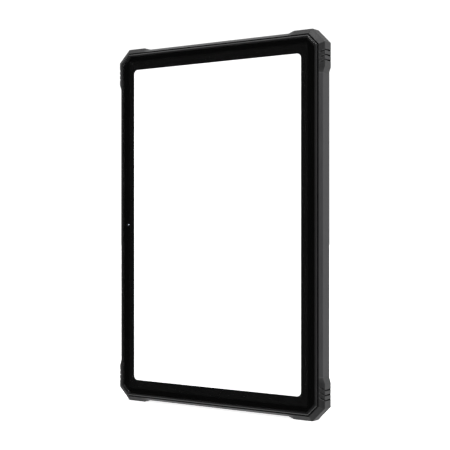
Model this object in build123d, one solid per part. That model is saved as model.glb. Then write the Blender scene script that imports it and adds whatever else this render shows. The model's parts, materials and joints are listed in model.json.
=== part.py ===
from build123d import *
import os

# Rugged 10.1-inch field data collector, standing upright in portrait on its two bottom bumpers.
# X is to the right seen from the front, Z is up, and the screen faces -Y.
# The origin is on the ground, under the middle of the case's width and thickness. Units: mm.
#
# Three measures are used throughout: x from the middle, "rise" from the middle of the screen,
# and "depth" from the front of the glass towards the back. "Reach" is how far an outline lies
# outside the edge of the glass.

os.makedirs("parts", exist_ok=True)

# Glass, picture area and display
PICTURE_W = 135.6
PICTURE_H = 216.96
BORDER_SIDE = 9.5
BORDER_END = 9.45
GLASS_W = PICTURE_W + 2 * BORDER_SIDE
GLASS_H = PICTURE_H + 2 * BORDER_END
GLASS_THICK = 1.1
GLASS_LEG = 6.0
PANEL_W = 143.0
PANEL_H = 228.0
PANEL_FRONT = 1.3
PANEL_THICK = 1.0
BACKLIGHT_THICK = 1.45
TAPE_THICK = 0.2

# Rim of the front frame: flat top, bevelled outer edge, then a narrow groove round the glass
RIM_PROUD = 0.25
RIM_REACH = 1.6
RIM_LEG = 6.5
RIM_GAP = 0.1
RIM_FLAT = 0.95
RIM_FLAT_LEG = 5.9
RIM_BEVEL_DROP = 0.5
RIM_LIP = 0.15
UNDERCUT_REACH = 1.2
UNDERCUT_LEG = 6.1
FRAME_BOTTOM = 2.4
GROOVE_REACH = 2.45
GROOVE_LEG = 7.15
GROOVE_FLOOR = 1.9

# Case side, as depth, reach and corner leg: front edge, front ridge, back ridge, back edge
CASE_SIDE = [(0.75, GROOVE_REACH, GROOVE_LEG), (3.2, 4.3, 8.1), (11.4, 4.3, 8.1), (13.9, 2.2, 6.9)]
BUMPER_SIDE = [(0.75, GROOVE_REACH, GROOVE_LEG), (3.2, 5.7, 8.8), (10.8, 5.7, 8.8), (14.35, 2.9, 6.9)]
RIDGE_ROUND = 0.5
CASE_BACK = CASE_SIDE[-1][0]
CASE_REACH = CASE_SIDE[1][1]
BUMPER_REACH = BUMPER_SIDE[1][1]
BUMPER_BACK = BUMPER_SIDE[-1][0]
BUMPER_CORE_BACK = 12.9

# Bumper plan: where each is at full size, and where its ramp meets the case
SIDE_FULL_RISE = 99.4
SIDE_END_RISE = 95.4
END_FULL_X = 60.6
END_END_X = 56.5

# Three grip grooves on the long side of each bumper
GRIP_TOP_RISE = 109.8
GRIP_PITCH = 3.15
GRIP_COUNT = 3
GRIP_WIDTH = 1.0
GRIP_SLANT = 2.0
GRIP_SUNK = 1.7
GRIP_FRONT = 1.0
GRIP_BEND = 3.5
GRIP_BACK = 11.3

# Case walls
CAVITY_REACH = -0.6
LEDGE_DEPTH = 2.45
BLOCK_DEPTH = 5.1
BLOCK_LEG = 22.0
BACK_INNER = 12.3
BACK_PANEL_W = 120.0
BACK_PANEL_TOP = 72.0
BACK_PANEL_BOTTOM = -94.0
BACK_PANEL_SUNK = 0.4
BACK_PANEL_LEG = 10.0
SLIP = 0.05
TOUCHING = 0.001

# Chassis plate that carries everything inside
CHASSIS_REACH = -0.9
CHASSIS_FRONT = 3.8
CHASSIS_BACK = 4.8
POST_BACK = 8.9
BOARD_FRONT = 6.4
BOARD_BACK = 7.4

# Fasteners: places, then head and shank radii, and the depths of the tip and of the head's seat
CASE_SCREWS = [(x, rise) for x in (-72.5, 72.5) for rise in (-88, -28, 28, 88)]
CASE_SCREWS += [(-40, 112.7), (40, 112.7), (-20.5, -112.7), (20.5, -112.7)]
BUMPER_SCREWS = [(70.0, 112.0), (75.5, 105.0)]
BOARD_SCREWS = [(-54, 88), (25, 88), (-54, 46), (54, 46), (-30, 10), (54, 10)]
CASE_SCREW_HEAD_R = 1.9
CASE_SCREW_R = 1.0
CASE_SCREW_TIP = 5.5
CASE_SCREW_SEAT = 12.85
BUMPER_SCREW_HEAD_R = 2.25
BUMPER_SCREW_R = 1.2
BUMPER_SCREW_TIP = 7.1
BUMPER_SCREW_SEAT = 13.35
BOARD_SCREW_HEAD_R = 1.6
BOARD_SCREW_R = 0.8
BOARD_SCREW_TIP = 5.1
HEAD_GAP = 0.1
POST_R = 2.4
BOARD_POST_R = 2.2
CASE_BOSS_R = 2.8
INSERTS = [(x, rise) for x in (-66.0, 66.0) for rise in (-37.5, 37.5)]
INSERT_R = 2.1
INSERT_BORE_R = 1.25
INSERT_FRONT = 9.9
INSERT_BOSS_R = 4.0
INSERT_BOSS_FLOOR = 1.2

# Keys on the left long side
KEY_PROUD = 0.6
KEY_TRAVEL = 0.4
KEY_DEPTH = 7.4
KEY_W = 4.8
KEY_THICK = 2.7
KEY_SLACK = 0.2
STEM_R = 1.2
STEM_END = 76.0
POWER_RISE = 70.0
POWER_LENGTH = 12.0
VOLUME_RISE = 48.0
VOLUME_LENGTH = 22.0
VOLUME_STEMS = [-7.5, 7.5]

# Port bay in the top short side
BAY_X0 = -17.0
BAY_X1 = 13.0
BAY_FRONT = 3.9
BAY_BACK = 10.9
FLAP_THICK = 1.9
FLAP_SLACK = 0.2
PIN_X = -15.8
PIN_R = 0.45
USB_X = 3.0
USB_DEPTH = 7.45
JACK_X = -8.5
TAB_X = 9.0

# Card tray in the left long side
TRAY_RISE = 12.0
TRAY_DEPTH = 8.35
TRAY_FACE_H = 16.0
TRAY_FACE_D = 3.2
TRAY_PLATE_H = 13.6
TRAY_PLATE_D = 1.2
TRAY_INNER_X = -50.0

# Inner pieces, as x0, x1, rise0, rise1
BATTERY = (-58, 58, -97, -8)
MAIN_BOARD = (-58, 58, 6, 93)
CAMERA_NOTCH = (30, 59, 76, 94)
PROCESSOR = (-18, -3, 42, 57)
PROCESSOR_SHIELD = (-33, 12, 38, 61)
RADIO_SHIELD = (18, 48, 26, 54)
HEAT_SPREADER = (-36, 30, 20, 74)
LOWER_BOARD = (-16.5, 16.5, -113, -101)
PORT_BOARD = (-16, 20, 97, 116.9)
GNSS_ANTENNA = (-38, -20, 96, 109)
WIRELESS_ANTENNA = (-60, -42, 96, 108)
CELLULAR_ANTENNA = (24, 56, 97, 109)

# Depths inside: where the battery, the chips, the thermal pad and the shields end
BATTERY_FRONT = 5.0
BATTERY_BACK = 10.4
CHIP_BACK = 8.4
PROCESSOR_BACK = 8.8
PAD_BACK = 9.35
SHIELD_BACK = 9.6
SHIELD_WALL = 0.25
SPREADER_BACK = 9.8
PORT_BOARD_FRONT = 9.05
PORT_BOARD_BACK = 9.85
AERIAL_THICK = 0.2

# Cameras and vibration motor
FRONT_CAMERA_X = -73.6
FRONT_CAMERA_RISE = 0.0
FRONT_TUBE_R = 1.4
FRONT_TUBE_HOLE_R = 1.6
FRONT_LENS_R = 1.0
FRONT_LENS_SEAT = 2.2
REAR_CAMERA = (47.0, 86.0)
FLASH = (36.5, 86.0)
ISLAND = (42.0, 86.0)
ISLAND_W = 28.0
ISLAND_H = 13.0
MOTOR = (67.0, -70.0)

THICKNESS = BUMPER_BACK + RIM_PROUD
BEHIND = 15.0
GLASS_Y = RIM_PROUD - THICKNESS / 2
MID_Z = GLASS_H / 2 + BUMPER_REACH
CASE_HALF_W = GLASS_W / 2 + CASE_REACH
CASE_HALF_H = GLASS_H / 2 + CASE_REACH
PIN_RISE = CASE_HALF_H - FLAP_THICK / 2


def at(x, rise, depth):
    """A place in the part's own frame."""
    return Pos(x, GLASS_Y + depth, MID_Z + rise)


def front_plane(depth):
    """The plane parallel to the glass at this depth, with its normal towards the front."""
    return Plane(origin=(0, GLASS_Y + depth, MID_Z), x_dir=(1, 0, 0), z_dir=(0, -1, 0))


def block(x0, x1, rise0, rise1, depth0, depth1):
    centre = at((x0 + x1) / 2, (rise0 + rise1) / 2, (depth0 + depth1) / 2)
    return centre * Box(x1 - x0, depth1 - depth0, rise1 - rise0)


def rod(x, rise, radius, depth0, depth1):
    """A round bar that runs front to back."""
    return at(x, rise, (depth0 + depth1) / 2) * Rot(90, 0, 0) * Cylinder(radius, depth1 - depth0)


def side_rod(x0, x1, rise, depth, radius):
    """A round bar that runs left to right."""
    return at((x0 + x1) / 2, rise, depth) * Rot(0, 90, 0) * Cylinder(radius, x1 - x0)


def slab(face, depth0, depth1):
    """A flat outline made solid between two depths."""
    return extrude(front_plane(depth0) * face, amount=depth0 - depth1)


def octagon(reach, leg):
    """The outline of the glass grown by reach, with its corners cut at 45 degrees."""
    half_w = GLASS_W / 2 + reach
    half_h = GLASS_H / 2 + reach
    corner = [(half_w - leg, half_h), (half_w, half_h - leg)]
    right = corner + [(x, -rise) for x, rise in reversed(corner)]
    left = [(-x, rise) for x, rise in reversed(right)]
    return make_face(Polyline(*right, *left, close=True))


def ring(outer, inner, depth0, depth1):
    return slab(outer, depth0, depth1) - slab(inner, depth0, depth1)


def stack(levels):
    """A solid through one outline for each (depth, reach, leg)."""
    faces = [front_plane(depth) * octagon(reach, leg) for depth, reach, leg in levels]
    return loft(faces, ruled=True)


def back_edges(solid, seat_faces):
    """The edges to round: those in the back half that don't touch a face of the seat."""
    edges = []
    for edge in solid.edges():
        ends = edge.vertices()
        touches_seat = any(face.distance_to(end) < TOUCHING for face in seat_faces for end in ends)
        if min(end.Y for end in ends) > GLASS_Y + THICKNESS / 2 and not touches_seat:
            edges.append(edge)
    return edges


def mirrored(solid, flip_x, flip_rise):
    if flip_x:
        solid = mirror(solid, about=Plane.YZ)
    if flip_rise:
        solid = mirror(solid, about=Plane(origin=(0, 0, MID_Z), z_dir=(0, 0, 1)))
    return solid


def rounded(x, rise, width, height, radius, depth0, depth1):
    return slab(Pos(x, rise) * RectangleRounded(width, height, radius), depth0, depth1)


def around(solid):
    """The four places a corner detail goes to: top right, bottom right, top left, bottom left."""
    flips = [(flip_x, flip_rise) for flip_x in (False, True) for flip_rise in (False, True)]
    return [mirrored(solid, *flip) for flip in flips]


# ---- display and front frame ----


def make_front_glass():
    glass = slab(octagon(0, GLASS_LEG), 0, GLASS_THICK)
    edges = glass.edges().group_by(Axis.Y)[0]
    return chamfer(edges, 0.12)


def make_glass_adhesive():
    opening = Rectangle(PANEL_W + 0.8, PANEL_H + 0.8)
    tape = ring(octagon(-0.3, GLASS_LEG), opening, GLASS_THICK, GLASS_THICK + TAPE_THICK)
    return tape - rod(FRONT_CAMERA_X, FRONT_CAMERA_RISE, FRONT_TUBE_HOLE_R, 0, 2)


def make_display_panel():
    return slab(Rectangle(PANEL_W, PANEL_H), PANEL_FRONT, PANEL_FRONT + PANEL_THICK)


def make_backlight():
    front = PANEL_FRONT + PANEL_THICK
    return slab(RectangleRounded(PANEL_W, PANEL_H, 1.0), front, front + BACKLIGHT_THICK)


def make_front_frame():
    """The rim round the glass, undercut behind its bevel, with a ledge that carries the glass."""
    ledge_front = GLASS_THICK + TAPE_THICK
    foot_depth = RIM_BEVEL_DROP - RIM_PROUD
    bevel = stack([(-RIM_PROUD, RIM_FLAT, RIM_FLAT_LEG), (foot_depth, RIM_REACH, RIM_LEG)])
    frame = bevel + slab(octagon(RIM_REACH, RIM_LEG), foot_depth, foot_depth + RIM_LIP)
    frame += slab(octagon(UNDERCUT_REACH, UNDERCUT_LEG), foot_depth, FRAME_BOTTOM)
    frame -= slab(octagon(RIM_GAP, GLASS_LEG), -1, ledge_front)
    frame -= slab(Rectangle(PANEL_W + 0.6, PANEL_H + 0.6), 0, FRAME_BOTTOM + 1)
    return frame - rod(FRONT_CAMERA_X, FRONT_CAMERA_RISE, FRONT_TUBE_HOLE_R, 0, FRAME_BOTTOM + 1)


def make_case_gasket():
    return ring(octagon(1.1, 6.15), octagon(0.15, 6.0), FRAME_BOTTOM, LEDGE_DEPTH + 0.8)


# ---- chassis ----


def make_chassis():
    outline = octagon(CHASSIS_REACH, GLASS_LEG - 0.2)
    chassis = slab(outline, CHASSIS_FRONT, CHASSIS_BACK)
    chassis += ring(outline, Rectangle(PANEL_W + 0.6, PANEL_H + 0.6), FRAME_BOTTOM, CHASSIS_FRONT)
    for x, rise in CASE_SCREWS:
        chassis += rod(x, rise, POST_R, CHASSIS_BACK, POST_BACK)
    for x, rise in BOARD_SCREWS:
        chassis += rod(x, rise, BOARD_POST_R, CHASSIS_BACK, BOARD_FRONT)
    for x, rise in CASE_SCREWS:
        chassis -= rod(x, rise, CASE_SCREW_R + SLIP, CASE_SCREW_TIP - HEAD_GAP, POST_BACK)
    for x, rise in BOARD_SCREWS:
        chassis -= rod(x, rise, BOARD_SCREW_R + SLIP, BOARD_SCREW_TIP - HEAD_GAP, BOARD_FRONT)
    chassis -= block(-13, 13, -6.5, -4, 3, 6)
    camera_side = FRONT_CAMERA_X - 1.9
    return chassis - block(camera_side, camera_side + 3.8, -2.9, 2.9, 2, 6)


# ---- bumpers ----


def bumper_plan(reach, case_reach, leg):
    """The top right bumper's outline: ramp, end, 45-degree corner, side, ramp."""
    end = GLASS_H / 2 + reach
    side = GLASS_W / 2 + reach
    points = [
        (END_END_X, GLASS_H / 2 + case_reach),
        (END_FULL_X, end),
        (side - leg, end),
        (side, end - leg),
        (side, SIDE_FULL_RISE),
        (GLASS_W / 2 + case_reach, SIDE_END_RISE),
    ]
    return make_face(Polyline(*points, close=True))


def grip_grooves():
    """Cutters that run straight back on the side face and slant across the front bevel.

    Their floor follows the bumper's skin, and rises to meet it at the front and back edges.
    """
    cutters = []
    front, ridge_front, ridge_back, back = BUMPER_SIDE
    sunk = [(depth, reach - GRIP_SUNK, leg) for depth, reach, leg in (ridge_front, ridge_back)]
    shell = stack([front, *sunk, back])
    for number in range(GRIP_COUNT):
        rise = GRIP_TOP_RISE - number * GRIP_PITCH
        half = GRIP_WIDTH / 2
        line = [(GRIP_FRONT, rise - GRIP_SLANT), (GRIP_BEND, rise), (GRIP_BACK, rise)]
        upper = [(GLASS_Y + depth, MID_Z + height + half) for depth, height in line]
        lower = [(GLASS_Y + depth, MID_Z + height - half) for depth, height in reversed(line)]
        side = Plane.YZ * make_face(Polyline(*upper, *lower, close=True))
        cutters.append(extrude(side, amount=GLASS_W) - shell)
    return cutters


def make_bumper_blank():
    """The top right bumper before its grooves and screw holes, which is also its seat in the case."""
    faces = []
    for (_, case_reach, _), (depth, reach, leg) in zip(CASE_SIDE, BUMPER_SIDE):
        faces.append(front_plane(depth) * bumper_plan(reach, case_reach, leg))
    blank = loft(faces, ruled=True)
    normals = [(face, face.normal_at()) for face in blank.faces()]
    seat_faces = [face for face, normal in normals if normal.X < -0.5 and normal.Z < -0.5]
    blank = fillet(back_edges(blank, seat_faces), RIDGE_ROUND)
    return blank - slab(octagon(GROOVE_REACH, GROOVE_LEG), 0, BUMPER_CORE_BACK)


def make_bumper(blank):
    bumper = blank
    for cutter in grip_grooves():
        bumper -= cutter
    for x, rise in BUMPER_SCREWS:
        bumper -= rod(x, rise, BUMPER_SCREW_R + HEAD_GAP, BUMPER_SCREW_SEAT - 1.35, BEHIND)
        bumper -= rod(x, rise, BUMPER_SCREW_HEAD_R + 0.15, BUMPER_SCREW_SEAT, BEHIND)
    return bumper


# ---- rear case ----


def around_key_depth(half):
    return KEY_DEPTH - half, KEY_DEPTH + half


def key_pocket(rise, length, stem_offsets, stem_hole):
    inner = -CASE_HALF_W - KEY_PROUD + KEY_THICK + KEY_TRAVEL + 0.1
    half_l = length / 2 + KEY_SLACK
    half_w = KEY_W / 2 + KEY_SLACK
    cut = block(-CASE_HALF_W - 1, inner, rise - half_l, rise + half_l, *around_key_depth(half_w))
    for offset in stem_offsets:
        cut += side_rod(inner - 0.5, -75, rise + offset, KEY_DEPTH, stem_hole)
    return cut


def tray_cut():
    cut = tray_box(-CASE_HALF_W - 1, -78.4, TRAY_FACE_H + 0.3, TRAY_FACE_D + 0.3)
    return cut + tray_box(-79, -74, TRAY_PLATE_H + 0.4, TRAY_PLATE_D + 0.4)


def port_bay_cut():
    floor = CASE_HALF_H - FLAP_THICK - FLAP_SLACK
    cut = block(BAY_X0, BAY_X1, floor, CASE_HALF_H + 1, BAY_FRONT, BAY_BACK)
    mouth = extrude(RectangleRounded(9.4, 3.6, 1.79), 8, both=True)
    cut += at(USB_X, 116, USB_DEPTH) * Rot(180, 0, 0) * mouth
    cut += at(JACK_X, 116, USB_DEPTH) * Cylinder(2.3, 16)
    return cut + rod(PIN_X, PIN_RISE, PIN_R + 0.02, BAY_FRONT - 0.7, BAY_BACK + 0.3)


def speaker_slots():
    cuts = []
    for side in (-1, 1):
        for number in range(7):
            x = side * (30 + number * 3.3)
            cuts.append(rounded(x, -107, 1.4, 9, 0.69, 11, BEHIND))
    return cuts


def back_panel_cut():
    """A shallow panel with corners cut at 45 degrees, sunk into the back."""
    height = BACK_PANEL_TOP - BACK_PANEL_BOTTOM
    middle = (BACK_PANEL_TOP + BACK_PANEL_BOTTOM) / 2
    outline = chamfer(Rectangle(BACK_PANEL_W, height).vertices(), BACK_PANEL_LEG)
    cut = slab(Pos(0, middle) * outline, CASE_BACK - BACK_PANEL_SUNK, CASE_BACK + 1)
    return chamfer(cut.edges().group_by(Axis.Y)[0], BACK_PANEL_SUNK * 0.6)


def make_rear_case(bumper_blank):
    case = stack(CASE_SIDE)
    case -= slab(octagon(GROOVE_REACH, GROOVE_LEG), 0, GROOVE_FLOOR)
    case -= slab(octagon(UNDERCUT_REACH + SLIP, UNDERCUT_LEG), 0, LEDGE_DEPTH)
    case -= slab(octagon(CAVITY_REACH, GLASS_LEG), 0, BLOCK_DEPTH)
    case -= slab(octagon(CAVITY_REACH, BLOCK_LEG), 0, BACK_INNER)
    case -= ring(octagon(1.15, 6.15), octagon(0.1, 6.0), 2, LEDGE_DEPTH + 0.8)
    for seat in around(bumper_blank):
        case -= seat
    for x, rise in CASE_SCREWS:
        case += rod(x, rise, CASE_BOSS_R, POST_BACK + SLIP, BACK_INNER)
    for x, rise in INSERTS:
        case += rod(x, rise, INSERT_BOSS_R, INSERT_FRONT - INSERT_BOSS_FLOOR, BACK_INNER)
        case -= rod(x, rise, INSERT_R, INSERT_FRONT, BEHIND)
    for x, rise in CASE_SCREWS:
        case -= rod(x, rise, CASE_SCREW_R + HEAD_GAP, POST_BACK - 1, BEHIND)
        case -= rod(x, rise, CASE_SCREW_HEAD_R + HEAD_GAP, CASE_SCREW_SEAT, BEHIND)
    for x, rise in BUMPER_SCREWS:
        for hole in around(rod(x, rise, BUMPER_SCREW_R + SLIP, BUMPER_SCREW_TIP - HEAD_GAP, BEHIND)):
            case -= hole
    case -= key_pocket(POWER_RISE, POWER_LENGTH, [0], STEM_R + 0.08)
    case -= key_pocket(VOLUME_RISE, VOLUME_LENGTH, VOLUME_STEMS, STEM_R + 0.4)
    case -= tray_cut()
    case -= port_bay_cut()
    for cut in speaker_slots():
        case -= cut
    case -= back_panel_cut()
    case -= rounded(*ISLAND, ISLAND_W + 0.2, ISLAND_H + 0.2, 4.1, 13.3, BEHIND)
    case -= rounded(*ISLAND, ISLAND_W - 4, ISLAND_H - 3, 3.0, 11, BEHIND)
    case -= at(-6, -CASE_HALF_H, KEY_DEPTH) * Cylinder(0.5, 12)
    case -= at(6, -CASE_HALF_H, KEY_DEPTH) * Cylinder(0.5, 12)
    return case


# ---- fasteners ----


def socket_screw(place, head_r, shank_r, tip, seat, head_thick):
    """A pan-head screw with its head at the back and a six-sided socket."""
    screw = rod(*place, shank_r, tip, seat) + rod(*place, head_r, seat, seat + head_thick)
    socket = Pos(*place) * RegularPolygon(head_r * 0.5, 6)
    return screw - slab(socket, seat + head_thick * 0.35, BEHIND)


def make_case_screws():
    size = (CASE_SCREW_HEAD_R, CASE_SCREW_R, CASE_SCREW_TIP, CASE_SCREW_SEAT, 0.8)
    return [socket_screw(place, *size) for place in CASE_SCREWS]


def make_bumper_screws():
    size = (BUMPER_SCREW_HEAD_R, BUMPER_SCREW_R, BUMPER_SCREW_TIP, BUMPER_SCREW_SEAT, 0.85)
    screws = []
    for place in BUMPER_SCREWS:
        screws += around(socket_screw(place, *size))
    return screws


def make_board_screws():
    size = (BOARD_SCREW_HEAD_R, BOARD_SCREW_R, BOARD_SCREW_TIP, BOARD_BACK, 0.6)
    return [socket_screw(place, *size) for place in BOARD_SCREWS]


def make_inserts():
    inserts = []
    for x, rise in INSERTS:
        body = rod(x, rise, INSERT_R, INSERT_FRONT, CASE_BACK)
        inserts.append(body - rod(x, rise, INSERT_BORE_R, INSERT_FRONT - 1, BEHIND))
    return inserts


# ---- keys ----


def make_key(rise, length, stem_offsets):
    outer = -CASE_HALF_W - KEY_PROUD
    middle = at(outer + KEY_THICK / 2, rise, KEY_DEPTH)
    cap = middle * Box(KEY_THICK, KEY_W, length)
    cap = fillet(cap.edges().filter_by(Axis.X), 1.2)
    cap = chamfer(cap.faces().sort_by(Axis.X)[0].edges(), 0.35)
    for offset in stem_offsets:
        cap += side_rod(outer + KEY_THICK - 0.1, -STEM_END, rise + offset, KEY_DEPTH, STEM_R)
    return cap


def make_power_key():
    return make_key(POWER_RISE, POWER_LENGTH, [0])


def make_volume_rocker():
    return make_key(VOLUME_RISE, VOLUME_LENGTH, VOLUME_STEMS)


def make_key_switches():
    half = 1.8
    rises = [POWER_RISE] + [VOLUME_RISE + offset for offset in VOLUME_STEMS]
    return [block(-75.5, -74.9, rise - half, rise + half, *around_key_depth(half)) for rise in rises]


def make_side_key_flex():
    return block(-74.9, -74.75, 33, 79, *around_key_depth(2.2))


def make_key_bracket():
    plate = block(-74.75, -74.15, 33, 79, 5.0, 10.6)
    return plate + block(-74.75, -71.5, 33, 79, 4.8, 5.3)


# ---- port bay ----


def make_port_flap():
    top = CASE_HALF_H
    bottom = top - FLAP_THICK
    radius = FLAP_THICK / 2
    front, back = BAY_FRONT + FLAP_SLACK, BAY_BACK - FLAP_SLACK
    flap = block(PIN_X, BAY_X1 - FLAP_SLACK, bottom, top, front, back)
    flap = fillet(flap.edges().filter_by(Axis.Y).sort_by(Axis.X)[-2:], 0.5)
    flap += rod(PIN_X, PIN_RISE, radius, front, back)
    flap += block(TAB_X - 1.6, TAB_X + 1.6, top - 0.2, top + 0.5, 5.6, 9.2)
    seal = Pos(USB_X, 0, 0) * RectangleRounded(8.0, 2.2, 1.09)
    flap += at(0, bottom - 1.3, USB_DEPTH) * extrude(Rot(180, 0, 0) * seal, -1.4)
    return flap - rod(PIN_X, PIN_RISE, PIN_R + 0.05, 0, BEHIND)


def make_port_flap_pin():
    return rod(PIN_X, PIN_RISE, PIN_R, BAY_FRONT - 0.7, BAY_BACK + 0.3)


def make_usb_c_port():
    """A flat oval metal mouth with the contact tongue inside."""
    outer = extrude(Rot(180, 0, 0) * RectangleRounded(9.0, 3.2, 1.59), -7.6)
    inner = extrude(Rot(180, 0, 0) * RectangleRounded(8.4, 2.6, 1.29), -7)
    place = at(USB_X, 111.6, USB_DEPTH)
    shell = place * outer - place * Pos(0, 0, 1) * inner
    return shell + block(USB_X - 3.3, USB_X + 3.3, 112.4, 117.0, USB_DEPTH - 0.35, USB_DEPTH + 0.35)


def make_audio_jack():
    body = block(JACK_X - 3.2, JACK_X + 3.2, 104.5, 117.1, USB_DEPTH - 2.4, USB_DEPTH + 1.6)
    body += at(JACK_X, 118.2, USB_DEPTH) * Cylinder(2.2, 2.4)
    return body - at(JACK_X, 113.5, USB_DEPTH) * Cylinder(1.78, 12.5)


def make_port_board():
    return block(*PORT_BOARD, PORT_BOARD_FRONT, PORT_BOARD_BACK)


# ---- card tray ----


def tray_box(x0, x1, height, thick):
    """A block centred on the card tray's line."""
    centre = at((x0 + x1) / 2, TRAY_RISE, TRAY_DEPTH)
    return centre * Box(x1 - x0, thick, height)


def make_card_tray():
    tray = tray_box(-CASE_HALF_W, -CASE_HALF_W + 2, TRAY_FACE_H, TRAY_FACE_D)
    tray += tray_box(-CASE_HALF_W + 1.9, TRAY_INNER_X, TRAY_PLATE_H, TRAY_PLATE_D)
    card = block(-66.5, -51.5, TRAY_RISE - 6.1, TRAY_RISE + 6.1, TRAY_DEPTH - 0.2, TRAY_DEPTH + 1)
    tray -= card
    return tray - side_rod(-83, -77, TRAY_RISE + 6.4, TRAY_DEPTH, 0.4)


def make_card_tray_seal():
    return tray_box(-79.5, -78.7, 15.6, 2.8) - tray_box(-80, -78, TRAY_PLATE_H, TRAY_PLATE_D)


def make_card_reader():
    cage = block(-60, -47, TRAY_RISE - 8, TRAY_RISE + 8, BOARD_BACK, TRAY_DEPTH + 1.2)
    return cage - block(-61, -49.5, TRAY_RISE - 7.1, TRAY_RISE + 7.1, TRAY_DEPTH - 0.8, TRAY_DEPTH + 0.9)


# ---- cameras ----


def make_front_camera():
    """A small camera with a lens tube that is open towards the glass."""
    body = block(FRONT_CAMERA_X - 1.6, FRONT_CAMERA_X + 1.6, -2.6, 2.6, 2.6, 5.6)
    body += rod(FRONT_CAMERA_X, FRONT_CAMERA_RISE, FRONT_TUBE_R, GLASS_THICK + SLIP, 2.7)
    return body - rod(FRONT_CAMERA_X, FRONT_CAMERA_RISE, FRONT_LENS_R, 0, FRONT_LENS_SEAT)


def make_rear_camera():
    x, rise = REAR_CAMERA
    body = block(x - 4.5, x + 4.5, rise - 4.5, rise + 4.5, 7.0, 11.4)
    return body + rod(x, rise, 3.4, 11.3, 13.2)


def make_rear_camera_bezel():
    bezel = rounded(*ISLAND, ISLAND_W, ISLAND_H, 4.0, 13.3, 14.25)
    bezel = chamfer(bezel.edges().group_by(Axis.Y)[-1], 0.25)
    x, rise = REAR_CAMERA
    bezel -= rod(x, rise, 3.6, 13, BEHIND) + rod(x, rise, 4.4, 13.7, BEHIND)
    return bezel - rod(*FLASH, 1.8, 13, BEHIND)


def make_rear_camera_window():
    return rod(*REAR_CAMERA, 4.35, 13.7, 14.15)


def make_flash_lens():
    return rod(*FLASH, 1.75, 12.6, 14.1)


# ---- boards and chips ----


def make_main_board():
    board = block(*MAIN_BOARD, BOARD_FRONT, BOARD_BACK)
    board -= block(*CAMERA_NOTCH, BOARD_FRONT - 1, BOARD_BACK + 1)
    for x, rise in BOARD_SCREWS:
        board -= rod(x, rise, BOARD_SCREW_R + SLIP, BOARD_FRONT - 1, BOARD_BACK + 1)
    return board


def shield_can(x0, x1, rise0, rise1):
    """A thin lid with four walls, open towards the board."""
    can = block(x0, x1, rise0, rise1, BOARD_BACK, SHIELD_BACK)
    inside = (x0 + SHIELD_WALL, x1 - SHIELD_WALL, rise0 + SHIELD_WALL, rise1 - SHIELD_WALL)
    return can - block(*inside, BOARD_BACK - 1, SHIELD_BACK - SHIELD_WALL)


def make_processor():
    return block(*PROCESSOR, BOARD_BACK, PROCESSOR_BACK)


def make_memory_chips():
    return [block(x, x + 11.5, 43, 56, BOARD_BACK, CHIP_BACK) for x in (-31.5, -1.0)]


def make_thermal_pad():
    return block(*PROCESSOR, PROCESSOR_BACK, PAD_BACK)


def make_heat_spreader():
    return block(*HEAT_SPREADER, SHIELD_BACK, SPREADER_BACK)


def make_battery():
    pack = block(*BATTERY, BATTERY_FRONT, BATTERY_BACK)
    return fillet(pack.edges().filter_by(Axis.Z), 2.0)


def make_battery_tapes():
    return [block(x - 12, x + 12, -90, -15, CHASSIS_BACK, BATTERY_FRONT) for x in (-34, 34)]


def make_battery_lead():
    return block(20, 34, -8, 5, 6.6, 8.2) + block(22, 32, 5, 12, BOARD_BACK, 8.2)


def make_display_flex():
    flex = block(-12, 12, -5.5, -5.3, PANEL_FRONT + PANEL_THICK + BACKLIGHT_THICK, 5.6)
    flex += block(-12, 12, -5.5, 9, 5.6, 5.75)
    return flex + block(-10, 10, 7, 10, 5.75, BOARD_FRONT)


def make_port_flex():
    """A flat cable from the main board to the port board, with a foot at each end."""
    half_w = 6
    flex = block(-half_w, half_w, 88, 101, 8.75, 8.9)
    flex += block(-half_w, half_w, 88, 91, BOARD_BACK, 8.75)
    return flex + block(-half_w, half_w, 98, 101, 8.9, PORT_BOARD_FRONT)


# ---- sound, motor, aerials ----


def make_speaker(side):
    x0, x1 = sorted((side * 25, side * 55))
    box = block(x0, x1, -114, -100, 5.0, 11.9)
    box = fillet(box.edges().filter_by(Axis.Y), 2.0)
    return box - rounded(side * 40, -107, 22, 8, 3.5, 11.2, 12)


def make_speaker_mesh():
    return [rounded(side * 40, -107, 26, 11, 2.0, 11.95, 12.3) for side in (-1, 1)]


def make_lower_board():
    return block(*LOWER_BOARD, BOARD_FRONT, BOARD_FRONT + 0.8)


def make_microphones():
    return [block(x - 1.9, x + 1.9, -113, -110, 7.2, 8.3) for x in (-6, 6)]


def make_motor_can():
    can = rod(*MOTOR, 4.5, CHASSIS_BACK, 8.2) - rod(*MOTOR, 4.1, 5.2, 7.8)
    return can + rod(*MOTOR, 0.42, 5.0, 8.0)


def make_motor_weight():
    x, rise = MOTOR
    weight = rod(x, rise, 3.9, 5.5, 7.5) - block(x - 5, x + 5, rise + 1.0, rise + 5, 5, 8)
    return weight - rod(x, rise, 0.47, 5, 8)


def make_gnss_antenna():
    return block(*GNSS_ANTENNA, CHASSIS_BACK, 8.8)


def make_aerial(outline):
    """A thin film aerial stuck to the inside of the back."""
    return block(*outline, BACK_INNER - AERIAL_THICK, BACK_INNER)


def save(name, solids):
    if isinstance(solids, list):
        solids = Compound(children=[piece.solid() for piece in solids])
    export_step(solids, f"parts/{name}.step")


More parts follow.
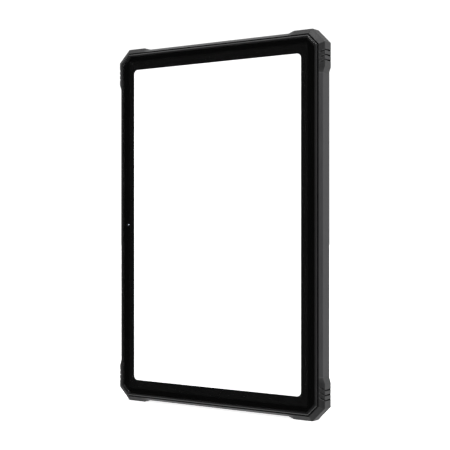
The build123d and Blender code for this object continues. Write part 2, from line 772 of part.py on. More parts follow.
def make_pieces():
    """Each piece by name: one solid, or the list of its separate solids."""
    blank = make_bumper_blank()
    pieces = {
        "rear_case": make_rear_case(blank),
        "front_glass": make_front_glass(),
        "glass_adhesive": make_glass_adhesive(),
        "display_panel": make_display_panel(),
        "display_backlight": make_backlight(),
        "front_frame": make_front_frame(),
        "case_gasket": make_case_gasket(),
        "chassis": make_chassis(),
        "case_screws": make_case_screws(),
        "bumper_screws": make_bumper_screws(),
        "board_screws": make_board_screws(),
        "accessory_inserts": make_inserts(),
        "power_key": make_power_key(),
        "volume_rocker": make_volume_rocker(),
        "key_switches": make_key_switches(),
        "side_key_flex": make_side_key_flex(),
        "key_bracket": make_key_bracket(),
        "port_flap": make_port_flap(),
        "port_flap_pin": make_port_flap_pin(),
        "usb_c_port": make_usb_c_port(),
        "audio_jack": make_audio_jack(),
        "port_board": make_port_board(),
        "card_tray": make_card_tray(),
        "card_tray_seal": make_card_tray_seal(),
        "card_reader": make_card_reader(),
        "front_camera": make_front_camera(),
        "rear_camera": make_rear_camera(),
        "rear_camera_bezel": make_rear_camera_bezel(),
        "rear_camera_window": make_rear_camera_window(),
        "flash_lens": make_flash_lens(),
        "main_board": make_main_board(),
        "processor_shield": shield_can(*PROCESSOR_SHIELD),
        "radio_shield": shield_can(*RADIO_SHIELD),
        "processor": make_processor(),
        "memory_chips": make_memory_chips(),
        "thermal_pad": make_thermal_pad(),
        "heat_spreader": make_heat_spreader(),
        "battery": make_battery(),
        "battery_tapes": make_battery_tapes(),
        "battery_lead": make_battery_lead(),
        "display_flex": make_display_flex(),
        "port_flex": make_port_flex(),
        "speaker_left": make_speaker(-1),
        "speaker_right": make_speaker(1),
        "speaker_mesh": make_speaker_mesh(),
        "lower_board": make_lower_board(),
        "microphones": make_microphones(),
        "vibration_motor_can": make_motor_can(),
        "vibration_motor_weight": make_motor_weight(),
        "gnss_antenna": make_gnss_antenna(),
        "wireless_antenna": make_aerial(WIRELESS_ANTENNA),
        "cellular_antenna": make_aerial(CELLULAR_ANTENNA),
    }
    corners = ("top_right", "bottom_right", "top_left", "bottom_left")
    for corner, bumper in zip(corners, around(make_bumper(blank))):
        pieces[f"bumper_{corner}"] = bumper
    return pieces


for name, solids in make_pieces().items():
    save(name, solids)
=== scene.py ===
import json
import math

import bmesh
import bpy
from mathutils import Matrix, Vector


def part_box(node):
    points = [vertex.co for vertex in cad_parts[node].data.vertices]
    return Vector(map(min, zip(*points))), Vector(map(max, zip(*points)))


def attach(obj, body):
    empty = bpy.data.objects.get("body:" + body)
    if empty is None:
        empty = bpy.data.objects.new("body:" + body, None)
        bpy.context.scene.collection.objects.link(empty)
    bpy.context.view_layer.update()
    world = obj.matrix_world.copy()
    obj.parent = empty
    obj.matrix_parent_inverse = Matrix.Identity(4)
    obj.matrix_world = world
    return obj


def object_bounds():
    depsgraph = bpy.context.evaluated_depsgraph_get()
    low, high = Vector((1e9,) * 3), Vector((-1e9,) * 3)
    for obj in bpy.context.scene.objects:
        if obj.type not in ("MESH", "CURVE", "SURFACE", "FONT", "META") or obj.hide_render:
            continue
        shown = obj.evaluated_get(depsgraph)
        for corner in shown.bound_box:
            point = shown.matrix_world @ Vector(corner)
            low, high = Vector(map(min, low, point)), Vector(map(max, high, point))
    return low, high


# Rugged field data collector. Metres, in the frame of the CAD model: X right, Z up, screen facing -Y.

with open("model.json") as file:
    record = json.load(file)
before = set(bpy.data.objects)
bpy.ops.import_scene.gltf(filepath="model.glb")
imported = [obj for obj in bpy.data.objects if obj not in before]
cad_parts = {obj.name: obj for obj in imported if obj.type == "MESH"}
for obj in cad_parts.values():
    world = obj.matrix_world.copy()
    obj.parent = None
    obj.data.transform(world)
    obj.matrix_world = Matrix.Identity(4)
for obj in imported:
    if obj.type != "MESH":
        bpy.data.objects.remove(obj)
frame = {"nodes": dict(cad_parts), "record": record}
cad_low, cad_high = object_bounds()

GLASS_LOW, GLASS_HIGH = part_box("front_glass")
GLASS_FRONT = GLASS_LOW.y
GLASS_BACK = GLASS_HIGH.y
PANEL_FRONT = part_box("display_panel")[0].y
MIDDLE = (GLASS_LOW + GLASS_HIGH) / 2
MM = 0.001

# Lit picture and black border
PICTURE_W = 135.0 * MM
PICTURE_H = 216.76 * MM
PICTURE_SHIFT = -0.4 * MM
PICTURE_RADIUS = 3.0 * MM
GLASS_LEG = 6.0 * MM
PRINT_MARGIN = 0.25 * MM
PRINT_GAP = 0.02 * MM
PRINT_THICK = 0.04 * MM
CAMERA_HOLE_RADIUS = 1.25 * MM
PICTURE_OVERLAP = 0.5 * MM
PICTURE_FRONT_GAP = 0.05 * MM
PICTURE_BACK_GAP = 0.01 * MM

# Camera lenses. Depths are from the front of the glass, heights from the rear camera's end face.
FRONT_LENS_RADIUS = 0.95 * MM
FRONT_LENS_BASE = 2.15 * MM
FRONT_LENS_APEX = 1.2 * MM
REAR_LENS_GAP = 0.02 * MM
REAR_LENS_RADIUS = 1.9 * MM
REAR_LENS_HEIGHT = 0.38 * MM
BAFFLE_INNER = 2.1 * MM
BAFFLE_STEPS = (3.3 * MM, 2.9 * MM, 2.5 * MM)
BAFFLE_STEP_HEIGHT = 0.12 * MM

# Flash chips: places from the middle of the flash lens, size, and depths in front of the lens
CHIP_OFFSETS = (-0.7 * MM, 0.7 * MM)
CHIP_SIZE = 1.1 * MM
CHIP_RADIUS = 0.15 * MM
CHIP_FRONT = 0.15 * MM
CHIP_BACK = 0.02 * MM

# Key marks
DOT_HALF = 0.55 * MM
SIGN_HALF_LENGTH = 0.9 * MM
SIGN_HALF_WIDTH = 0.22 * MM
SIGN_OFFSET = 7.0 * MM
MARK_PROUD = 0.08 * MM
MARK_SUNK = 0.02 * MM
MARK_EDGE = 0.04 * MM

# Ribs on the port flap, by their distance from its free end
RIBS_FROM_END = (4.8 * MM, 3.8 * MM, 2.8 * MM)
RIB_HALF_WIDTH = 0.2 * MM
RIB_HALF_LENGTH = 1.4 * MM
RIB_PROUD = 0.15 * MM
RIB_SUNK = 0.05 * MM
RIB_EDGE = 0.06 * MM

# Light of the room around the object, as direction and brightness, from in front of it (-1) to behind it (1)
ROOM_LIGHT = [(-1.0, 0.17), (-0.8, 0.21), (-0.3, 0.27), (0.15, 5.5), (0.6, 1.9), (1.0, 0.2)]
# Share of that light from the left of the object (-1) to its right (1)
SIDE_SHARE = [(-1.0, 0.05), (-0.6, 0.3), (0.0, 0.5), (0.6, 1.0), (0.95, 0.3)]
BACKDROP_LIGHT = 1.1
FLOOR_LIGHT = 0.85
FLOOR_RADIUS = 6.0

# Softboxes: place, size and power
UPPER_SOFTBOX = ((0.3, -1.3, 1.7), (0.45, 0.35), 14)
LOWER_SOFTBOX = ((0.3, -1.3, -1.45), (0.5, 0.4), 0.7)

# Camera, from the middle of the screen
CAMERA_RIGHT = 0.4117
CAMERA_FRONT = 0.5899
CAMERA_HEADING = math.radians(34.28)
LENS_MM = 86.49
SENSOR_MM = 36.0


# ---------------------------------------------------------------- meshes


def centre_of(node):
    low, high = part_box(node)
    return (low + high) / 2


def add_object(name, mesh, body, material):
    """Links a mesh, gives it its material and lets it ride on a CAD body."""
    piece = bpy.data.objects.new(name, mesh)
    bpy.context.scene.collection.objects.link(piece)
    mesh.materials.clear()
    mesh.materials.append(material)
    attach(piece, body)


def arc(centre_x, centre_z, radius, start, end, steps=10):
    """Points on an arc in the XZ plane, from start to end in degrees."""
    points = []
    for step in range(steps + 1):
        angle = math.radians(start + (end - start) * step / steps)
        points.append((centre_x + radius * math.cos(angle), centre_z + radius * math.sin(angle)))
    return points


def rounded_outline(centre_x, centre_z, width, height, radius):
    half_w = width / 2 - radius
    half_h = height / 2 - radius
    corners = [(half_w, half_h, 0), (-half_w, half_h, 90), (-half_w, -half_h, 180), (half_w, -half_h, 270)]
    points = []
    for x, z, start in corners:
        points += arc(centre_x + x, centre_z + z, radius, start, start + 90)
    return points


def octagon_outline(low, high, leg, margin):
    left, right = low.x + margin, high.x - margin
    bottom, top = low.z + margin, high.z - margin
    return [
        (left + leg, bottom), (right - leg, bottom), (right, bottom + leg), (right, top - leg),
        (right - leg, top), (left + leg, top), (left, top - leg), (left, bottom + leg),
    ]


def plate(name, outlines, front, back):
    """A flat plate parallel to the glass. The first outline is its edge and the others are holes."""
    curve = bpy.data.curves.new(name, "CURVE")
    curve.dimensions = "2D"
    curve.fill_mode = "BOTH"
    curve.extrude = (back - front) / 2
    for outline in outlines:
        spline = curve.splines.new("POLY")
        spline.points.add(len(outline) - 1)
        for point, (x, z) in zip(spline.points, outline):
            point.co = (x, z, 0, 1)
        spline.use_cyclic_u = True
    holder = bpy.data.objects.new(name, curve)
    bpy.context.scene.collection.objects.link(holder)
    bpy.context.view_layer.update()
    mesh = bpy.data.meshes.new_from_object(holder.evaluated_get(bpy.context.evaluated_depsgraph_get()))
    bpy.data.objects.remove(holder)
    for vertex in mesh.vertices:
        x, z, depth = vertex.co
        vertex.co = (x, (front + back) / 2 + depth, z)
    tidy(mesh)
    return mesh


def bar(name, low, high, edge):
    """A small block with bevelled edges."""
    work = bmesh.new()
    bmesh.ops.create_cube(work, size=1.0)
    for vertex in work.verts:
        share = vertex.co + Vector((0.5, 0.5, 0.5))
        vertex.co = [start + (end - start) * part for start, end, part in zip(low, high, share)]
    bmesh.ops.bevel(work, geom=work.edges[:], offset=edge, segments=2, affect="EDGES", profile=0.5)
    mesh = bpy.data.meshes.new(name)
    work.to_mesh(mesh)
    work.free()
    return mesh


def tidy(mesh):
    """Joins doubled vertices and turns all faces outwards."""
    work = bmesh.new()
    work.from_mesh(mesh)
    bmesh.ops.remove_doubles(work, verts=work.verts, dist=1e-7)
    bmesh.ops.recalc_face_normals(work, faces=work.faces)
    work.to_mesh(mesh)
    work.free()
    mesh.update()


def turned(name, centre_x, centre_z, profile, steps=48):
    """A solid of revolution about an axis along Y. The profile is (radius, y) from axis to axis."""
    work = bmesh.new()
    rings = []
    for radius, y in profile:
        if radius == 0:
            rings.append([work.verts.new((centre_x, y, centre_z))])
            continue
        ring = []
        for step in range(steps):
            angle = 2 * math.pi * step / steps
            x = centre_x + radius * math.cos(angle)
            z = centre_z + radius * math.sin(angle)
            ring.append(work.verts.new((x, y, z)))
        rings.append(ring)
    for first, second in zip(rings, rings[1:]):
        for step in range(steps):
            after = (step + 1) % steps
            corners = [first[step % len(first)], first[after % len(first)]]
            corners += [second[after % len(second)], second[step % len(second)]]
            face = list(dict.fromkeys(corners))
            if len(face) > 2:
                work.faces.new(face)
    bmesh.ops.remove_doubles(work, verts=work.verts, dist=1e-7)
    bmesh.ops.recalc_face_normals(work, faces=work.faces)
    mesh = bpy.data.meshes.new(name)
    work.to_mesh(mesh)
    work.free()
    for polygon in mesh.polygons:
        polygon.use_smooth = True
    mesh.set_sharp_from_angle(angle=math.radians(35))
    return mesh


# ---------------------------------------------------------------- material nodes


class Shader:
    """A node material on object coordinates, which are metres in the part's frame."""

    def __init__(self, name, colour, roughness, metallic=0.0, **sockets):
        self.material = bpy.data.materials.new(name)
        self.material.use_nodes = True
        self.nodes = self.material.node_tree.nodes
        self.links = self.material.node_tree.links
        self.bsdf = self.nodes["Principled BSDF"]
        self.colour = colour
        self.set("Base Color", (*colour, 1.0))
        self.set("Roughness", roughness)
        self.set("Metallic", metallic)
        for socket, value in sockets.items():
            self.set(socket.replace("_", " "), value)
        self.place = self.nodes.new("ShaderNodeTexCoord").outputs["Object"]
        self.edge_normal = None
        self.material.diffuse_color = (*colour, 1.0)

    def set(self, socket, value):
        self.bsdf.inputs[socket].default_value = value

    def stretched(self, scale):
        mapping = self.nodes.new("ShaderNodeMapping")
        mapping.inputs["Scale"].default_value = scale
        self.links.new(self.place, mapping.inputs["Vector"])
        return mapping.outputs["Vector"]

    def noise(self, size, detail=2.0, stretch=(1, 1, 1)):
        """Noise with features of about this size in metres."""
        node = self.nodes.new("ShaderNodeTexNoise")
        node.inputs["Scale"].default_value = 1.0 / size
        node.inputs["Detail"].default_value = detail
        self.links.new(self.stretched(stretch), node.inputs["Vector"])
        return node.outputs["Fac"]

    def cells(self, size, feature="F1"):
        node = self.nodes.new("ShaderNodeTexVoronoi")
        node.feature = feature
        node.inputs["Scale"].default_value = 1.0 / size
        self.links.new(self.place, node.inputs["Vector"])
        return node.outputs["Distance"]

    def ramp(self, value, low, high, out_low, out_high):
        node = self.nodes.new("ShaderNodeMapRange")
        node.inputs["From Min"].default_value = low
        node.inputs["From Max"].default_value = high
        node.inputs["To Min"].default_value = out_low
        node.inputs["To Max"].default_value = out_high
        self.links.new(value, node.inputs["Value"])
        return node.outputs["Result"]

    def math(self, operation, first, second):
        node = self.nodes.new("ShaderNodeMath")
        node.operation = operation
        for socket, value in zip(node.inputs, (first, second)):
            if isinstance(value, (int, float)):
                socket.default_value = value
            else:
                self.links.new(value, socket)
        return node.outputs[0]

    def mix_colour(self, factor, first, second):
        node = self.nodes.new("ShaderNodeMix")
        node.data_type = "RGBA"
        self.links.new(factor, node.inputs["Factor"])
        for socket, value in ((node.inputs[6], first), (node.inputs[7], second)):
            if isinstance(value, tuple):
                socket.default_value = (*value, 1.0)
            else:
                self.links.new(value, socket)
        return node.outputs[2]

    def vary_colour(self, factor, darker, lighter):
        """Moves the base colour between two shades of itself."""
        low = tuple(channel * darker for channel in self.colour)
        high = tuple(min(1.0, channel * lighter) for channel in self.colour)
        self.links.new(self.mix_colour(factor, low, high), self.bsdf.inputs["Base Color"])

    def vary_roughness(self, factor, low, high):
        self.links.new(self.ramp(factor, 0.3, 0.7, low, high), self.bsdf.inputs["Roughness"])

    def worn_edges(self, radius, lighter, glossier):
        """Softens the look of sharp edges, and polishes them lighter in patches. It comes before bump."""
        bevel = self.nodes.new("ShaderNodeBevel")
        bevel.samples = 6
        bevel.inputs["Radius"].default_value = radius
        self.edge_normal = bevel.outputs["Normal"]
        facing = self.nodes.new("ShaderNodeVectorMath")
        facing.operation = "DOT_PRODUCT"
        self.links.new(self.edge_normal, facing.inputs[0])
        self.links.new(self.nodes.new("ShaderNodeNewGeometry").outputs["Normal"], facing.inputs[1])
        edge = self.ramp(facing.outputs["Value"], 0.995, 0.93, 0.0, 1.0)
        worn = self.math("MULTIPLY", edge, self.ramp(self.noise(0.004, 4.0), 0.4, 0.6, 0.2, 1.0))
        old_colour = self.bsdf.inputs["Base Color"].links[0].from_socket
        polished = tuple(channel * lighter for channel in self.colour)
        self.links.new(self.mix_colour(worn, old_colour, polished), self.bsdf.inputs["Base Color"])
        old_roughness = self.bsdf.inputs["Roughness"].links[0].from_socket
        change = self.math("MULTIPLY", worn, -glossier)
        self.links.new(self.math("ADD", old_roughness, change), self.bsdf.inputs["Roughness"])

    def bump(self, *heights):
        """Adds bumps in turn, each a (height, depth in metres, strength)."""
        normal = self.edge_normal
        for height, depth, strength in heights:
            node = self.nodes.new("ShaderNodeBump")
            node.inputs["Distance"].default_value = depth
            node.inputs["Strength"].default_value = strength
            self.links.new(height, node.inputs["Height"])
            if normal is not None:
                self.links.new(normal, node.inputs["Normal"])
            normal = node.outputs["Normal"]
        self.links.new(normal, self.bsdf.inputs["Normal"])


def moulded(name, colour, roughness, grain, depth, edge_radius=0.0):
    """Moulded plastic, rubber or paint: a fine grain, and slow changes of colour and gloss."""
    shader = Shader(name, colour, roughness)
    shader.vary_colour(shader.noise(0.018, 3.0), 0.9, 1.12)
    shader.vary_roughness(shader.noise(0.006, 3.0), roughness - 0.05, roughness + 0.06)
    if edge_radius:
        shader.worn_edges(edge_radius, 1.5, 0.08)
    shader.bump((shader.cells(grain), depth, 0.5), (shader.noise(grain * 0.6, 1.0), depth * 0.6, 0.4))
    return shader


def brushed(name, colour, roughness, stretch=(1, 1, 30)):
    """Metal with fine streaks along one axis."""
    shader = Shader(name, colour, roughness, metallic=1.0)
    streaks = shader.noise(0.0008, 3.0, tuple(1.0 / length for length in stretch))
    shader.vary_roughness(streaks, roughness - 0.07, roughness + 0.08)
    shader.vary_colour(shader.noise(0.004), 0.9, 1.08)
    shader.bump((streaks, 4e-6, 0.4))
    return shader


def film(name, colour, roughness, pitch):
    """Flexible circuit film with copper tracks that show as fine stripes."""
    shader = Shader(name, colour, roughness)
    wave = shader.nodes.new("ShaderNodeTexWave")
    wave.inputs["Scale"].default_value = 0.3 / pitch
    wave.inputs["Distortion"].default_value = 0.0
    shader.links.new(shader.place, wave.inputs["Vector"])
    tracks = shader.ramp(wave.outputs["Fac"], 0.35, 0.65, 0.0, 1.0)
    shader.vary_colour(tracks, 0.75, 1.35)
    shader.bump((tracks, 2e-5, 0.5))
    return shader


def circuit_board(name):
    """Solder mask over copper tracks, with small bare pads."""
    shader = Shader(name, (0.012, 0.07, 0.035), 0.35)
    tracks = shader.ramp(shader.cells(0.0022, "DISTANCE_TO_EDGE"), 0.04, 0.08, 1.0, 0.0)
    pads = shader.ramp(shader.cells(0.0035), 0.14, 0.16, 1.0, 0.0)
    mask = shader.mix_colour(tracks, (0.01, 0.06, 0.03), (0.02, 0.13, 0.06))
    shader.links.new(shader.mix_colour(pads, mask, (0.7, 0.55, 0.25)), shader.bsdf.inputs["Base Color"])
    shader.links.new(pads, shader.bsdf.inputs["Metallic"])
    shader.bump((tracks, 3e-5, 0.5), (pads, 2e-5, 0.5))
    return shader


def glass(name, colour, roughness, ior):
    """Clear coated glass: faint smears change its gloss a little."""
    shader = Shader(name, colour, roughness, Transmission_Weight=1.0, IOR=ior)
    shader.vary_roughness(shader.noise(0.03, 4.0), roughness, roughness + 0.02)
    return shader


def make_materials():
    """One material for each of the record's material slots."""
    shaders = {
        "cover_glass": glass("cover_glass", (1.0, 1.0, 1.0), 0.01, 1.45),
        "lens_glass": glass("lens_glass", (0.85, 0.9, 1.0), 0.01, 1.5),
        "clear_plastic": glass("clear_plastic", (0.98, 0.97, 0.9), 0.25, 1.45),
        "case_plastic": moulded("case_plastic", (0.03, 0.03, 0.032), 0.42, 0.00035, 2.5e-5, 0.0003),
        "bumper_rubber": moulded("bumper_rubber", (0.025, 0.025, 0.026), 0.46, 0.00028, 2.5e-5, 0.0003),
        "key_plastic": moulded("key_plastic", (0.03, 0.03, 0.032), 0.38, 0.00022, 1.2e-5),
        "module_plastic": moulded("module_plastic", (0.015, 0.015, 0.016), 0.45, 0.0002, 1.0e-5),
        "chip_resin": moulded("chip_resin", (0.02, 0.02, 0.021), 0.55, 0.00012, 8e-6),
        "foam_tape": moulded("foam_tape", (0.012, 0.012, 0.012), 0.8, 0.0003, 4e-5),
        "silicone": moulded("silicone", (0.22, 0.03, 0.02), 0.55, 0.0006, 1.5e-5),
        "silicone_pad": moulded("silicone_pad", (0.32, 0.38, 0.5), 0.7, 0.0004, 3e-5),
        "battery_wrap": moulded("battery_wrap", (0.06, 0.06, 0.065), 0.3, 0.002, 3e-5),
        "graphite": moulded("graphite", (0.08, 0.08, 0.085), 0.35, 0.0008, 2e-5),
        "ceramic": moulded("ceramic", (0.62, 0.55, 0.42), 0.6, 0.00015, 8e-6),
        "mesh_fabric": moulded("mesh_fabric", (0.02, 0.02, 0.02), 0.8, 0.00018, 8e-5),
        "backlight": moulded("backlight", (0.7, 0.7, 0.7), 0.35, 0.0012, 1e-5),
        "frame_alloy": moulded("frame_alloy", (0.03, 0.03, 0.031), 0.2, 0.0003, 3e-6, 0.00015),
        "chassis_alloy": brushed("chassis_alloy", (0.46, 0.47, 0.49), 0.45),
        "bezel_alloy": brushed("bezel_alloy", (0.05, 0.05, 0.055), 0.3, (30, 1, 1)),
        "screw_steel": brushed("screw_steel", (0.1, 0.1, 0.105), 0.35, (1, 1, 1)),
        "plated_steel": brushed("plated_steel", (0.62, 0.61, 0.58), 0.3),
        "motor_weight": brushed("motor_weight", (0.33, 0.33, 0.34), 0.4),
        "brass": brushed("brass", (0.72, 0.5, 0.2), 0.28, (1, 1, 1)),
        "flex_film": film("flex_film", (0.4, 0.16, 0.03), 0.3, 0.0006),
        "circuit_board": circuit_board("circuit_board"),
        "display": moulded("display", (0.02, 0.02, 0.022), 0.3, 0.0004, 3e-6),
    }
    return {slot: shader.material for slot, shader in shaders.items()}


def lit_picture_material():
    """The blank white picture. Its light falls off slightly towards the corners."""
    shader = Shader("lit_picture", (0.9, 0.9, 0.9), 0.4)
    offset = shader.nodes.new("ShaderNodeVectorMath")
    offset.operation = "DISTANCE"
    offset.inputs[1].default_value = MIDDLE
    shader.links.new(shader.place, offset.inputs[0])
    glow = shader.ramp(offset.outputs["Value"], 0.0, PICTURE_H * 0.6, 1.3, 1.18)
    shader.set("Emission Color", (1.0, 1.0, 1.0, 1.0))
    shader.links.new(glow, shader.bsdf.inputs["Emission Strength"])
    return shader.material


def ink_material():
    """Black ink on the back of the glass, with faint speckle."""
    shader = Shader("border_ink", (0.0014, 0.0014, 0.0015), 0.6, Specular_IOR_Level=0.05)
    shader.vary_colour(shader.noise(0.0005), 0.8, 1.2)
    return shader.material


def coated_lens_material(name, colour):
    """A lens with a coloured, mirror-like coat that deepens towards its rim."""
    shader = Shader(name, colour, 0.08, metallic=0.85, Coat_Weight=1.0, Coat_Roughness=0.02)
    rim = shader.nodes.new("ShaderNodeLayerWeight")
    rim.inputs["Blend"].default_value = 0.4
    tint = tuple(channel * 0.6 for channel in colour)
    mixed = shader.mix_colour(rim.outputs["Facing"], colour, tint)
    shader.links.new(mixed, shader.bsdf.inputs["Base Color"])
    return shader.material


def phosphor_material():
    """Yellow phosphor over the flash chips."""
    shader = Shader("flash_phosphor", (0.85, 0.72, 0.16), 0.7)
    shader.vary_colour(shader.noise(0.0003), 0.85, 1.1)
    return shader.material


# ---------------------------------------------------------------- screen


def build_screen():
    """Black border ink with its window and camera hole, and the lit picture behind it."""
    front = GLASS_BACK + PRINT_GAP
    edge = octagon_outline(GLASS_LOW, GLASS_HIGH, GLASS_LEG, PRINT_MARGIN)
    window_x = MIDDLE.x + PICTURE_SHIFT
    window = rounded_outline(window_x, MIDDLE.z, PICTURE_W, PICTURE_H, PICTURE_RADIUS)
    camera = centre_of("front_camera")
    hole = arc(camera.x, camera.z, CAMERA_HOLE_RADIUS, 0, 345, 23)
    ink = plate("border_ink", [edge, window, hole], front, front + PRINT_THICK)
    add_object("border_ink", ink, "case", ink_material())
    width = PICTURE_W + 2 * PICTURE_OVERLAP
    height = PICTURE_H + 2 * PICTURE_OVERLAP
    outline = rounded_outline(window_x, MIDDLE.z, width, height, PICTURE_RADIUS)
    picture = plate("lit_picture", [outline], PANEL_FRONT - PICTURE_FRONT_GAP, PANEL_FRONT - PICTURE_BACK_GAP)
    add_object("lit_picture", picture, "case", lit_picture_material())


# ---------------------------------------------------------------- small details


def lens_profile(radius, base, apex, steps=8):
    """A dome from a flat base to its apex, as (radius, y) from axis to axis."""
    points = [(0, base), (radius, base)]
    for step in range(1, steps):
        angle = math.pi / 2 * step / steps
        points.append((radius * math.cos(angle), base + (apex - base) * math.sin(angle)))
    return points + [(0, apex)]


def build_front_lens():
    """The lens of the camera beside the screen, in its tube behind the glass."""
    centre = centre_of("front_camera")
    profile = lens_profile(FRONT_LENS_RADIUS, GLASS_FRONT + FRONT_LENS_BASE, GLASS_FRONT + FRONT_LENS_APEX)
    lens = turned("front_lens", centre.x, centre.z, profile)
    add_object("front_lens", lens, "case", coated_lens_material("front_lens", (0.8, 0.88, 1.0)))


def build_rear_lens():
    """A stepped light baffle and a lens between the rear camera and its window."""
    centre = centre_of("rear_camera")
    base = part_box("rear_camera")[1].y + REAR_LENS_GAP
    profile = [(BAFFLE_INNER, base)]
    for step, radius in enumerate(BAFFLE_STEPS):
        profile.append((radius, base + step * BAFFLE_STEP_HEIGHT))
        profile.append((radius, base + (step + 1) * BAFFLE_STEP_HEIGHT))
    profile += [(BAFFLE_INNER, profile[-1][1]), (BAFFLE_INNER, base)]
    baffle = turned("rear_baffle", centre.x, centre.z, profile)
    baffle_look = moulded("rear_baffle", (0.012, 0.012, 0.013), 0.5, 0.0001, 4e-6)
    add_object("rear_baffle", baffle, "case", baffle_look.material)
    dome = lens_profile(REAR_LENS_RADIUS, base, base + REAR_LENS_HEIGHT)
    lens = turned("rear_lens", centre.x, centre.z, dome)
    add_object("rear_lens", lens, "case", coated_lens_material("rear_lens", (0.4, 0.2, 0.7)))


def build_flash_phosphor():
    """Two phosphor squares close in front of the flash lens."""
    centre = centre_of("flash_lens")
    lens_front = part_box("flash_lens")[0].y
    material = phosphor_material()
    for offset in CHIP_OFFSETS:
        outline = rounded_outline(centre.x + offset, centre.z, CHIP_SIZE, CHIP_SIZE, CHIP_RADIUS)
        chip = plate("flash_phosphor", [outline], lens_front - CHIP_FRONT, lens_front - CHIP_BACK)
        add_object("flash_phosphor", chip, "case", material)


def build_key_marks():
    """Raised marks on the side keys: a dot for power, a plus and a minus for volume."""
    material = moulded("key_mark", (0.45, 0.45, 0.46), 0.45, 0.0001, 3e-6).material
    marks = [
        ("power_key", 0, DOT_HALF, DOT_HALF),
        ("volume_rocker", -SIGN_OFFSET, SIGN_HALF_LENGTH, SIGN_HALF_WIDTH),
        ("volume_rocker", SIGN_OFFSET, SIGN_HALF_LENGTH, SIGN_HALF_WIDTH),
        ("volume_rocker", SIGN_OFFSET, SIGN_HALF_WIDTH, SIGN_HALF_LENGTH),
    ]
    for key, offset, half_y, half_z in marks:
        centre = centre_of(key)
        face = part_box(key)[0].x
        low = (face - MARK_PROUD, centre.y - half_y, centre.z + offset - half_z)
        high = (face + MARK_SUNK, centre.y + half_y, centre.z + offset + half_z)
        mark = bar(f"{key}_mark", low, high, MARK_EDGE)
        add_object(f"{key}_mark", mark, key, material)


def build_flap_ribs(material):
    """Three small ribs that give a fingernail some hold on the port flap's tab."""
    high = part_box("port_flap")[1]
    centre = centre_of("port_flap")
    for from_end in RIBS_FROM_END:
        x = high.x - from_end
        rib_low = (x - RIB_HALF_WIDTH, centre.y - RIB_HALF_LENGTH, high.z - RIB_SUNK)
        rib_high = (x + RIB_HALF_WIDTH, centre.y + RIB_HALF_LENGTH, high.z + RIB_PROUD)
        rib = bar("flap_rib", rib_low, rib_high, RIB_EDGE)
        add_object("flap_rib", rib, "port_flap", material)


# ---------------------------------------------------------------- stage


def add_softbox(name, place, size, power):
    """A rectangular white light that shines at the middle of the screen."""
    data = bpy.data.lights.new(name, "AREA")
    data.shape = "RECTANGLE"
    data.size, data.size_y = size
    data.energy = power
    lamp = bpy.data.objects.new(name, data)
    lamp.location = place
    lamp.rotation_euler = (MIDDLE - Vector(place)).to_track_quat("-Z", "Y").to_euler()
    bpy.context.scene.collection.objects.link(lamp)


def build_floor():
    """A plain white floor. Only the camera sees it, so it doesn't light the object or show in its gloss."""
    mesh = bpy.data.meshes.new("floor")
    corners = []
    for step in range(64):
        angle = math.tau * step / 64
        corners.append((FLOOR_RADIUS * math.cos(angle), FLOOR_RADIUS * math.sin(angle), 0))
    mesh.from_pydata(corners, [], [list(range(64))])
    floor = bpy.data.objects.new("floor", mesh)
    floor.location.z = cad_low.z
    floor.visible_glossy = False
    floor.visible_diffuse = False
    floor.visible_transmission = False
    floor.visible_shadow = False
    bpy.context.scene.collection.objects.link(floor)
    material = bpy.data.materials.new("pale_floor")
    material.use_nodes = True
    bsdf = material.node_tree.nodes["Principled BSDF"]
    bsdf.inputs["Base Color"].default_value = (0.9, 0.9, 0.9, 1)
    bsdf.inputs["Roughness"].default_value = 0.9
    bsdf.inputs["Specular IOR Level"].default_value = 0.0
    bsdf.inputs["Emission Color"].default_value = (1, 1, 1, 1)
    bsdf.inputs["Emission Strength"].default_value = FLOOR_LIGHT
    mesh.materials.append(material)


def direction_ramp(nodes, links, direction, stops, blend):
    """A brightness that depends on one axis of the direction. Returns its grey and its highest value."""
    across = nodes.new("ShaderNodeMapRange")
    across.inputs["From Min"].default_value = -1.0
    links.new(direction, across.inputs["Value"])
    ramp = nodes.new("ShaderNodeValToRGB")
    ramp.color_ramp.interpolation = blend
    points = ramp.color_ramp.elements
    highest = max(value for _, value in stops)
    while len(points) < len(stops):
        points.new(0.5)
    for point, (towards, value) in zip(points, stops):
        shade = value / highest
        point.position = (towards + 1) / 2
        point.color = (shade, shade, shade, 1)
    links.new(across.outputs["Result"], ramp.inputs["Fac"])
    return ramp.outputs["Color"], highest


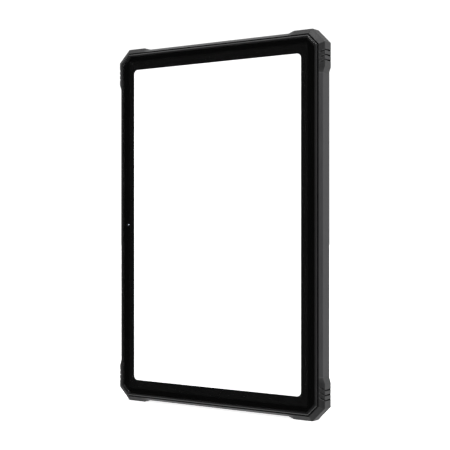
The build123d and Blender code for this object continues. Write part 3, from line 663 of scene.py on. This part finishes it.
def build_world():
    """A white backdrop for the camera, and a room that is dark in front of the object."""
    world = bpy.data.worlds.new("studio")
    bpy.context.scene.world = world
    world.use_nodes = True
    nodes = world.node_tree.nodes
    links = world.node_tree.links
    nodes.clear()
    direction = nodes.new("ShaderNodeSeparateXYZ")
    links.new(nodes.new("ShaderNodeTexCoord").outputs["Generated"], direction.inputs[0])
    light, brightest = direction_ramp(nodes, links, direction.outputs["Y"], ROOM_LIGHT, "EASE")
    share, _ = direction_ramp(nodes, links, direction.outputs["X"], SIDE_SHARE, "LINEAR")
    strength = nodes.new("ShaderNodeMath")
    strength.operation = "MULTIPLY"
    strength.inputs[1].default_value = brightest
    links.new(share, strength.inputs[0])
    room = nodes.new("ShaderNodeBackground")
    links.new(light, room.inputs["Color"])
    links.new(strength.outputs[0], room.inputs["Strength"])
    seen = nodes.new("ShaderNodeBackground")
    seen.inputs["Strength"].default_value = BACKDROP_LIGHT
    seen.inputs["Color"].default_value = (1, 1, 1, 1)
    mix = nodes.new("ShaderNodeMixShader")
    links.new(nodes.new("ShaderNodeLightPath").outputs["Is Camera Ray"], mix.inputs["Fac"])
    links.new(room.outputs[0], mix.inputs[1])
    links.new(seen.outputs[0], mix.inputs[2])
    links.new(mix.outputs[0], nodes.new("ShaderNodeOutputWorld").inputs["Surface"])


def build_lights():
    """A softbox above and in front, and a weaker one below, for the front bevels of the cut corners."""
    add_softbox("upper_softbox", *UPPER_SOFTBOX)
    add_softbox("lower_softbox", *LOWER_SOFTBOX)


def build_camera():
    data = bpy.data.cameras.new("camera")
    data.lens = LENS_MM
    data.sensor_width = SENSOR_MM
    data.clip_start = 0.01
    camera = bpy.data.objects.new("camera", data)
    camera.location = (MIDDLE.x + CAMERA_RIGHT, GLASS_FRONT - CAMERA_FRONT, MIDDLE.z)
    camera.rotation_euler = (math.radians(90), 0, CAMERA_HEADING)
    bpy.context.scene.collection.objects.link(camera)
    bpy.context.scene.camera = camera


# ---------------------------------------------------------------- scene


def dress_nodes(materials):
    """Gives each CAD node the material of its slot."""
    for entry in frame["record"]["subparts"]:
        node = frame["nodes"][entry["node"]]
        node.data.materials.clear()
        node.data.materials.append(materials[entry["material_slot"]])


def main():
    bpy.context.scene.view_settings.view_transform = "Standard"
    build_camera()
    build_world()
    build_lights()
    build_floor()
    materials = make_materials()
    dress_nodes(materials)
    build_screen()
    build_front_lens()
    build_rear_lens()
    build_flash_phosphor()
    build_key_marks()
    build_flap_ribs(materials["bumper_rubber"])


main()
